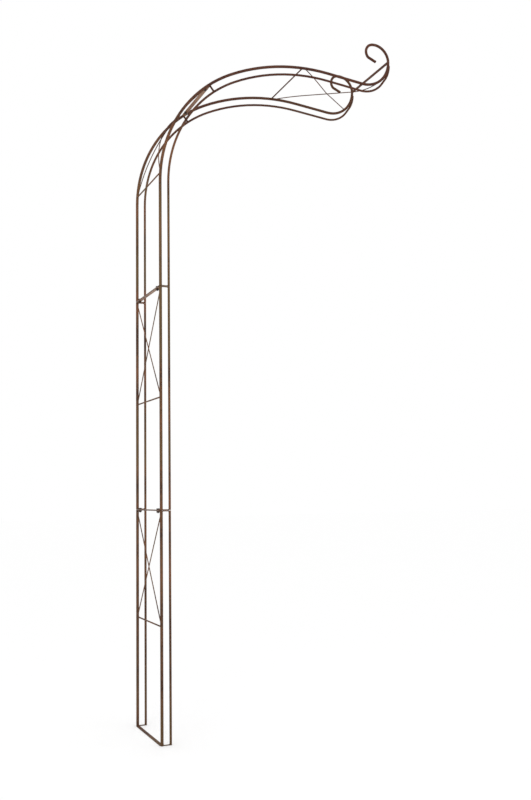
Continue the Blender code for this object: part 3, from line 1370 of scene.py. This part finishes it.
@dataclass
class Crest(Section):
    """The free end: scrolls, an end bar, and front rods welded to the outside of the rise."""

    ends: tuple[End, ...] = (End.BOTTOM,)
    top_setback: float = 0.0
    seam_radius: float = 0.0011
    seam_offset: float = 0.0011          # from the side frame's plane to each bead
    seam_run_out: float = 0.003          # past the tapered end
    seam_steps: int = 40

    def wire_points(self, hand: int) -> list[Vector]:
        """One wire's centre line; the upper one runs straight from the crossing on.

        Args:
            hand: 1 or -1, for the two wires.

        Returns:
            The line's points.
        """
        points = super().wire_points(hand)
        if hand < 0:
            half = self.wire_steps // 2
            crossing, end = points[half], points[-1]
            points[half:] = [crossing.lerp(end, share) for share in shares(self.wire_steps - half)]
        return points

    def build_extras(self) -> None:
        """The end bar, and the beads along the front rods' tapered ends.

        The end bar has the rods' coat, whose colours and painted crest shade go by the height on the
        arch, so its mesh is made in the arch's axes.
        """
        axes = self.back_line.frame(self.back_line.turned_to(math.pi / 2.0))
        bar = self.bar_mesh(())
        bar.transform(axes)
        stand_for(self.name + "_end_bar", bar, self.finishes.coat)
        for _, y in self.sizes.sides():
            for up in (1, -1):
                face = up * self.bar.thickness / 2.0
                self.welds.bar_end(axes, y, self.sizes.back_radius, face, up)
            for hand in (1, -1):
                self.welds.seam(self.groove(y + hand * self.seam_offset), self.seam_radius)

    def groove(self, y: float) -> list[Vector]:
        """The line on which the front rod's tapered end lies on the back rod.

        Args:
            y: The line's place along Y.

        Returns:
            Its points.
        """
        taper = self.front_line.stretches[-1]
        run = taper.length + self.seam_run_out
        places = [taper.start + run * share for share in shares(self.seam_steps)]
        point = Vector((-self.sizes.front_radius, y, 0.0))
        return [self.front_line.frame(along) @ point for along in places]


@dataclass(frozen=True)
class Fasteners:
    """The M6 bolt and nut that clamp two flat bars together."""

    seat: float = 0.00245                # under the head, above the joint's plane
    across_flats: float = 0.010
    head_height: float = 0.004
    nut_height: float = 0.005
    shank_radius: float = 0.003
    root_radius: float = 0.00239         # at the bottom of the thread
    bore_radius: float = 0.0031
    countersink: float = 0.0006          # of the nut's bore
    pitch: float = 0.001
    run_out: float = 0.00025             # of the thread into the shank
    stickout: float = 0.002
    lead_in: float = 0.8                 # the tip's radius, as a share of the thread's root
    turn_rings: int = 8                  # rings to a turn of thread
    crown: float = 0.94                  # the corner's chamfer starts at this share of the flats
    chamfer: float = 30.0                # degrees
    undercut: float = 0.0001             # of the shank, below the head
    washer_face: float = 0.0002          # under the head's hexagon
    dish: float = 0.0001                 # of the head's top
    dish_radius: float = 0.2             # as a share of the width across flats
    around: int = 48

    def hexagon(self, share: float) -> float:
        """Radius of the hexagon at a share of a full turn from a corner."""
        angle = math.radians((share * 360.0) % 60.0 - 30.0)
        return self.across_flats / 2.0 / math.cos(angle)

    def ring(self, radius: Callable[[float], float], height: Callable[[float], float]) -> list[Vector]:
        """A ring about the fastener's axis.

        Args:
            radius: Radius at a share of a turn.
            height: Height at a share of a turn.

        Returns:
            The ring's points.
        """
        ways = all_round(Vector((1.0, 0.0, 0.0)), Vector((0.0, 1.0, 0.0)), self.around)
        up = Vector((0.0, 0.0, 1.0))
        return [way * radius(s) + up * height(s) for way, s in zip(ways, shares(self.around))]

    def level(self, radius: float, height: float) -> list[Vector]:
        """A plain circle about the axis."""
        return self.ring(lambda share: radius, lambda share: height)

    def chamfered(self, top: float, away: int) -> list[list[Vector]]:
        """Rings from a hexagon's flank to its chamfered face.

        Args:
            top: Height of the face.
            away: 1 where the face looks up, -1 where down.

        Returns:
            The flank's edge and the face's circle.
        """
        circle = self.across_flats / 2.0 * self.crown
        slope = math.tan(math.radians(self.chamfer))
        edge = self.ring(self.hexagon, lambda share: top - away * slope * (self.hexagon(share) - circle))
        return [edge, self.level(circle, top)]

    def bolt(self) -> Shell:
        """The bolt, head up, with the joint's plane at 0.

        Returns:
            Its shell.
        """
        low, high = self.seat, self.seat + self.head_height
        tip = -(self.seat + self.nut_height + self.stickout)
        thread_top = -(self.seat + self.nut_height - self.pitch)
        steps = round((thread_top - tip) / self.pitch * self.turn_rings)
        rings = [self.level(self.root_radius * self.lead_in, tip)]
        for share in shares(steps)[1:]:
            height = tip + (thread_top - tip) * share
            taper = min(1.0, (height - tip) / self.pitch)
            rings.append(self.ring(lambda s: self.thread(s, height, taper), lambda s: height))
        rings += [
            self.level(self.shank_radius, thread_top + self.run_out),
            self.level(self.shank_radius, low - self.undercut),
            self.level(self.across_flats / 2.0 * self.crown, low),
            self.ring(self.hexagon, lambda share: low + self.washer_face),
            *self.chamfered(high, 1),
            self.level(self.across_flats * self.dish_radius, high - self.dish),
        ]
        shell = Shell()
        shell.loft(rings)
        return shell

    def thread(self, share: float, height: float, taper: float) -> float:
        """Radius of the thread at a place on it.

        Args:
            share: Share of a turn.
            height: Height on the bolt.
            taper: From 0 at the lead-in to 1 on the full thread.

        Returns:
            The radius.
        """
        wave = (height / self.pitch - share) % 1.0
        ridge = 1.0 - abs(2.0 * wave - 1.0)
        return self.root_radius + (self.shank_radius - self.root_radius) * ridge * taper

    def nut(self) -> Shell:
        """The nut, with the joint's plane at 0.

        Returns:
            Its shell.
        """
        high, low = -self.seat, -self.seat - self.nut_height
        mouth = self.shank_radius + self.countersink
        rings = [
            self.level(self.bore_radius, high - self.countersink),
            self.level(mouth, high),
            *self.chamfered(high, 1)[::-1],
            *self.chamfered(low, -1),
            self.level(mouth, low),
            self.level(self.bore_radius, low + self.countersink),
        ]
        shell = Shell()
        shell.loft(rings, looped=True)
        return shell

    def build(self, joint: str, axes: Matrix, holes: Pair, finish: Material) -> None:
        """Adds the fasteners of one joint.

        Args:
            joint: The joint's name.
            axes: The back rods' axes at the joint's plane.
            holes: The bolt holes' places along Y, from right to left.
            finish: The material.
        """
        for side, y in zip((Side.RIGHT, Side.LEFT), holes):
            place = axes @ Matrix.Translation((0.0, y, 0.0))
            for kind, shell in (("bolt", self.bolt()), ("nut", self.nut())):
                stand_for(f"{joint}_{kind}_{side.label}", shell.mesh(), finish, place)


@dataclass
class Arch:
    """The whole arch: four sections and the three joints between them."""

    sizes: SideFrame = SideFrame()
    bar: FlatBar = FlatBar()
    fasteners: Fasteners = Fasteners()
    leg_rail: float = 0.375
    spring_rail: float = 0.394
    crest_rail: float = 0.392
    joint_wire_inset: float = 0.006      # from the wires' upper ends to the joint
    crest_wire_inset: float = 0.095      # from the crest's wires to its end bar

    def sections(self, finishes: Finishes) -> list[Section]:
        """Plans the sections.

        Args:
            finishes: The arch's materials.

        Returns:
            The sections, from the ground up.
        """
        sizes = self.sizes
        back, front = sizes.back(), sizes.front()
        leg, spring = sizes.leg, 2.0 * sizes.leg
        crest, front_crest = sizes.spring_top(0.0), sizes.spring_top(sizes.rod_gap)
        crest_end = back.turned_to(math.pi / 2.0) - self.crest_wire_inset
        ends = [joint - self.joint_wire_inset for joint in (leg, spring, crest)] + [crest_end]
        rails = (self.leg_rail, self.leg_rail, self.spring_rail, self.crest_rail)
        backs = ((0.0, leg), (leg, spring), (spring, crest), (crest, back.length))
        fronts = ((0.0, leg), (leg, spring), (spring, front_crest), (front_crest, front.length))
        names = ("base", "middle", "spring", "crest")
        kinds = (FootSection, Section, Section, Crest)
        return [
            kind(name, sizes, self.bar, finishes, *places)
            for kind, name, *places in zip(kinds, names, backs, fronts, rails, ends)
        ]

    def build(self) -> None:
        """Makes and dresses every piece."""
        bar, holes = self.bar, self.bar.holes(self.sizes.rod_y)
        half_width, half_thickness = bar.width / 2.0, bar.thickness / 2.0
        worn = WornBarCoat(half_width=half_width, half_thickness=half_thickness, holes=holes)
        coats = (RustCoat(), worn, WeldCoat(), OiledSteel())
        finishes = Finishes(*(coat.material() for coat in coats))
        sections = self.sections(finishes)
        for section in sections:
            section.build()
        for joint, section in zip(("leg_joint", "spring_joint", "crest_joint"), sections[1:]):
            self.fasteners.build(joint, section.end_axes(End.BOTTOM), holes, finishes.steel)


@dataclass(frozen=True)
class Lamp:
    """A soft round lamp that looks at the middle of the arch."""

    name: str
    place: Triple
    size: float
    power: float                         # in watts

    def build(self) -> None:
        """Adds the lamp."""
        lamp = bpy.data.lights.new(self.name, "AREA")
        lamp.shape = "DISK"
        lamp.size = self.size
        lamp.energy = self.power
        holder = add_object(self.name, lamp)
        target = (CAD_BOX[0] + CAD_BOX[1]) / 2.0
        aim = (target - Vector(self.place)).to_track_quat("-Z", "Y")
        holder.matrix_world = Matrix.Translation(self.place) @ aim.to_matrix().to_4x4()


@dataclass(frozen=True)
class Studio:
    """Floor, light and camera. Angles are in degrees."""

    camera_place: Triple = (-0.9013, -3.1175, 0.7987)
    camera_yaw: float = 23.29            # from +Y towards +X
    camera_pitch: float = 5.743          # upward
    camera_roll: float = -0.846
    focal_pixels: float = 934.3
    frame_height: float = 800.0          # the picture's longer side, in pixels
    sensor: float = 36.0
    sight: float = 200.0                 # how far the camera sees
    floor_size: float = 60.0
    sky: float = 1.0                     # the room's light
    lamps: tuple[Lamp, ...] = (
        Lamp("key", (-3.4, -4.2, 4.6), 3.2, 30.0),
        Lamp("fill", (4.4, -2.6, 3.2), 3.0, 8.0),
    )

    def build(self) -> None:
        """Adds all of it."""
        self.add_camera()
        self.add_floor()
        world = bpy.data.worlds.new("studio")
        bpy.context.scene.world = Graph(world).dress(Color=WHITE, Strength=self.sky)
        for lamp in self.lamps:
            lamp.build()

    def add_camera(self) -> None:
        """The camera, at the photograph's viewing angle."""
        lens = bpy.data.cameras.new("camera")
        lens.sensor_width = self.sensor
        lens.lens = self.sensor * self.focal_pixels / self.frame_height
        lens.clip_end = self.sight
        camera = add_object("camera", lens)
        turn = (
            Matrix.Rotation(-math.radians(self.camera_yaw), 4, "Z")
            @ Matrix.Rotation(math.radians(90.0 + self.camera_pitch), 4, "X")
            @ Matrix.Rotation(math.radians(self.camera_roll), 4, "Z")
        )
        camera.matrix_world = Matrix.Translation(self.camera_place) @ turn
        bpy.context.scene.camera = camera

    def add_floor(self) -> None:
        """A paper floor at the foot of the arch."""
        half = self.floor_size / 2.0
        mesh = bpy.data.meshes.new("floor")
        corners = [(-half, -half, 0.0), (half, -half, 0.0), (half, half, 0.0), (-half, half, 0.0)]
        mesh.from_pydata(corners, [], [(0, 1, 2, 3)])
        mesh.materials.append(StudioWhite().material())
        floor = add_object("floor", mesh)


def main() -> None:
    """Builds the studio and the arch."""
    logging.basicConfig(level=logging.INFO, format="%(name)s %(message)s")
    bpy.context.scene.view_settings.view_transform = "Standard"
    Studio().build()
    Arch().build()


if __name__ == "__main__":
    main()
